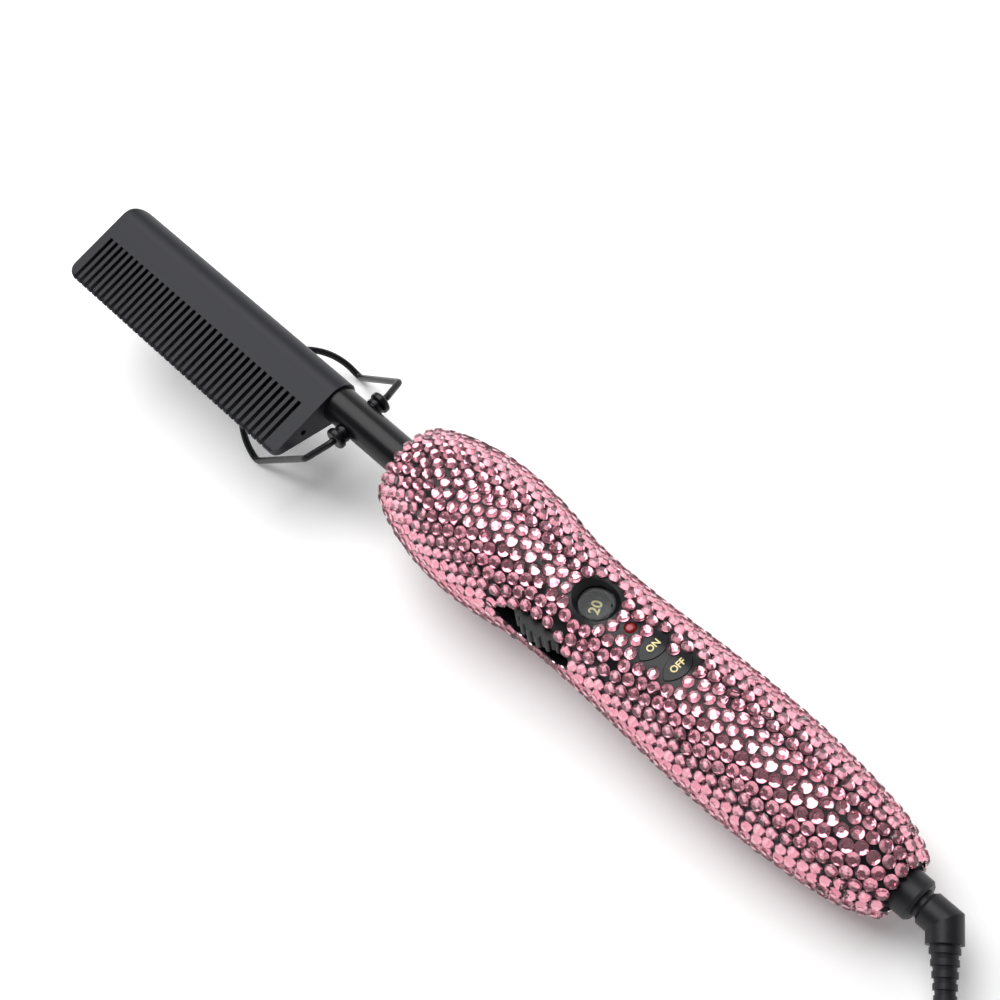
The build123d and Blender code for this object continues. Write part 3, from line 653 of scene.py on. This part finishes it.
def gap_stones(places, r, tries, share):
    """Stones of one radius for what gaps are left, at seeded places."""
    tree = seats(places)
    found = []
    points = []
    for _ in range(tries):
        s = random.uniform(nose_room, PROFILE[-1][2] - tail_room)
        angle = random.uniform(-math.pi, math.pi)
        point = on_skin(s, angle)[0]
        if push_out(point, r, 0.8).length > 0 or not clear_of(point, r, places, tree, share):
            continue
        if all((q - point).length > 2 * r * share for q in points):
            found.append([s, angle, r])
            points.append(point)
    return found


def stone_shape():
    """One flat-backed stone: girdle, eight broad and eight narrow crown facets, eight-sided table."""
    bm = bmesh.new()
    bmesh.ops.create_circle(bm, cap_ends=True, segments=stone_sides, radius=0.5)
    back = bm.faces[:]
    raised = bmesh.ops.extrude_face_region(bm, geom=back)["geom"]
    rim = [v for v in raised if isinstance(v, bmesh.types.BMVert)]
    bmesh.ops.translate(bm, verts=rim, vec=(0, 0, stone_girdle / stone_d))
    top = [f for f in raised if isinstance(f, bmesh.types.BMFace)]
    raised = bmesh.ops.extrude_face_region(bm, geom=top)["geom"]
    table = [v for v in raised if isinstance(v, bmesh.types.BMVert)]
    bmesh.ops.delete(bm, geom=top, context="FACES_ONLY")
    rise = (stone_h - stone_girdle) / stone_d
    bmesh.ops.scale(bm, verts=table, vec=(table_share, table_share, 1))
    bmesh.ops.translate(bm, verts=table, vec=(0, 0, rise))
    table.sort(key=lambda v: math.atan2(v.co.y, v.co.x))
    for first, second in zip(table[0::2], table[1::2]):
        between = (first.co + second.co) / 2
        bmesh.ops.pointmerge(bm, verts=[first, second], merge_co=between)
    bmesh.ops.recalc_face_normals(bm, faces=bm.faces[:])
    for face in bm.faces:
        face.material_index = 1 if face.normal.z < 0.1 else 0
    mesh = bpy.data.meshes.new("stone")
    bm.to_mesh(mesh)
    bm.free()
    return mesh


def crystals():
    """All the stones of the handle, as one piece."""
    places = lattice()
    places = [p for p in places if push_out(on_skin(p[0], p[1])[0], p[2], 0.25).length == 0]
    rim = round_window()
    for _ in range(packings):
        settle(places, rim, settle_rounds)
        places = thin_out(sorted(places), rim, ring_share)
        places += gap_stones(rim + places, stone_d / 2, full_tries, gap_share)
    settle(places, rim, settle_rounds)
    places = rim + thin_out(sorted(places), rim, ring_share)
    for share, tries in zip(small_shares, small_tries):
        places += gap_stones(places, stone_d / 2 * share, tries, small_share)
    shape = stone_shape()
    bm = bmesh.new()
    tones = bm.faces.layers.float.new("stone")
    for s, angle, r in places:
        point, normal = on_skin(s, angle)
        lean = Matrix.Rotation(random.gauss(0, lean_spread), 4, "X")
        lean = lean @ Matrix.Rotation(random.gauss(0, lean_spread), 4, "Y")
        spin = Matrix.Rotation(random.uniform(0, math.pi), 4, "Z")
        size = 2 * r * random.uniform(*size_spread)
        turn = normal.to_track_quat("Z", "Y").to_matrix().to_4x4()
        first = len(bm.verts)
        faces = len(bm.faces)
        bm.from_mesh(shape)
        bm.verts.ensure_lookup_table()
        bm.faces.ensure_lookup_table()
        place = Matrix.Translation(point + normal * glue) @ turn @ lean @ spin @ Matrix.Scale(size, 4)
        bmesh.ops.transform(bm, matrix=TOOL @ place, verts=bm.verts[first:])
        tone = random.random()
        for face in bm.faces[faces:]:
            face[tones] = tone
    made = piece("crystals", bm, "tool", "crystal_pink", LOOKS["crystal_pink"], FOIL)
    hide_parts("crystal_layer")


crystals()

# ------------------------------------------------------------------ printed words and numbers
ink_height = 0.03
ink_lift = 0.02
stroke_share = 0.024  # how much the strokes are fattened, as a share of the size
word_size = 2.3
number_size = 3.6
number_r = 8.0
number_angle = 24.5
number_step = 45
number_seen = 20
numbers = range(15, 45, 5)


def printed(name, words, size_mm, place, body, turn=0.0):
    """Flat printed words that read to the spine side, with their tops to the comb."""
    data = bpy.data.curves.new(name, "FONT")
    data.body = words
    data.align_x = "CENTER"
    data.align_y = "CENTER"
    data.size = size_mm
    data.extrude = ink_height / 2
    data.offset = size_mm * stroke_share
    holder = bpy.data.objects.new(name + "_text", data)
    bpy.context.scene.collection.objects.link(holder)
    bpy.context.view_layer.update()
    mesh = bpy.data.meshes.new_from_object(holder)
    bpy.data.objects.remove(holder)
    bm = bmesh.new()
    bm.from_mesh(mesh)
    upright = Matrix.Rotation(math.pi / 2 + turn, 4, "Z")
    bmesh.ops.transform(bm, matrix=TOOL @ Matrix.Translation(place) @ upright, verts=bm.verts[:])
    slot = "dial_black" if body == "dial" else "shell_black"
    piece(name, bm, body, slot, INK)


for word in ("on", "off"):
    low, high = span(f"{word}_button")
    place = Vector(((low.x + high.x) / 2, 0, high.z + ink_lift))
    printed(f"{word}_word", word.upper(), word_size, place, f"{word}_key")

dial_top = span("temperature_dial")[1].z
dial_middle = middle("temperature_dial")
for number in numbers:
    angle = math.radians(number_angle + number_step * (number - number_seen) / numbers.step)
    out = Vector((math.cos(angle), math.sin(angle), 0))
    place = Vector((dial_middle.x, dial_middle.y, dial_top + ink_lift)) + out * number_r
    printed(f"number_{number}", str(number), number_size, place, "dial", angle)


# ------------------------------------------------------------------ floor and light
floor_half = 4.0
# From this near to this far, in metres, the floor's own light goes from the least to all of it.
paper_lift = {"From Min": 0.25, "From Max": 0.9, "To Min": 0.13, "To Max": 1.0}
# Heights of the way out, as a sine, between which the white horizon turns to the dim room.
room_edge = {"From Min": 0.2, "From Max": 0.3, "To Min": 1.0, "To Max": 0.0}
lit_station = 45
# Name, way to it in the tool's frame, distance, length and width in metres, power in watts.
PANELS = (
    ("ceiling_panel", Vector((-0.42, 0.04, 0.9)), 1.2, 1.3, 1.2, 18.6),
    ("side_panel", Vector((-0.35, 0.9, 0.35)), 1.3, 1.0, 1.0, 2.2),
)


def shown_rays(tree):
    """Gives 1 to a ray that shows the background: to the eye, off metal or through glass."""
    rays = add(tree, "ShaderNodeLightPath").outputs
    eye_or_metal = add(
        tree,
        "ShaderNodeMath",
        {"operation": "MAXIMUM"},
        links={0: rays["Is Camera Ray"], 1: rays["Is Glossy Ray"]},
    )
    shown = add(
        tree,
        "ShaderNodeMath",
        {"operation": "MAXIMUM"},
        links={0: eye_or_metal.outputs[0], 1: rays["Is Transmission Ray"]},
    )
    return shown.outputs[0]


def set_stage():
    """A pale floor, one broad soft lamp overhead, a soft side panel and a dim room."""
    bm = bmesh.new()
    bmesh.ops.create_grid(bm, x_segments=1, y_segments=1, size=floor_half)
    floor = piece("floor", bm, None, None)
    material, tree, shader = blank("floor_paper")
    shader.inputs["Base Color"].default_value = colour("#fdfdfd")
    shader.inputs["Roughness"].default_value = 0.9
    place = add(tree, "ShaderNodeTexCoord").outputs["Object"]
    away = add(tree, "ShaderNodeVectorMath", {"operation": "LENGTH"}, links={0: place})
    paper = add(tree, "ShaderNodeMapRange", values=paper_lift, links={"Value": away.outputs["Value"]})
    lift = add(
        tree,
        "ShaderNodeMath",
        {"operation": "MULTIPLY"},
        links={0: shown_rays(tree), 1: paper.outputs["Result"]},
    )
    tree.links.new(lift.outputs[0], shader.inputs["Emission Strength"])
    shader.inputs["Emission Color"].default_value = (1, 1, 1, 1)
    floor.data.materials.append(material)

    target = spot(lit_station)
    for name, way, distance, length, width, power in PANELS:
        light = bpy.data.lights.new(name, "AREA")
        light.shape = "RECTANGLE"
        light.size = length
        light.size_y = width
        light.energy = power
        holder = bpy.data.objects.new(name, light)
        bpy.context.scene.collection.objects.link(holder)
        back = (turned.to_3x3() @ way).normalized()
        across = back.cross(tool_x).normalized()
        turn = Matrix((across.cross(back), across, back)).transposed().to_4x4()
        holder.matrix_world = Matrix.Translation(target + back * distance) @ turn

    world = bpy.data.worlds.new("room")
    bpy.context.scene.world = world
    world.use_nodes = True
    tree = world.node_tree
    way = add(tree, "ShaderNodeTexCoord").outputs["Generated"]
    height = add(tree, "ShaderNodeSeparateXYZ", links={"Vector": way}).outputs["Z"]
    backdrop = add(tree, "ShaderNodeMapRange", values=room_edge, links={"Value": height})
    level = blend(tree, backdrop.outputs["Result"], "#626262", "#ffffff")
    tree.links.new(level, tree.nodes["Background"].inputs["Color"])


set_stage()
bpy.context.scene.view_settings.view_transform = "Standard"
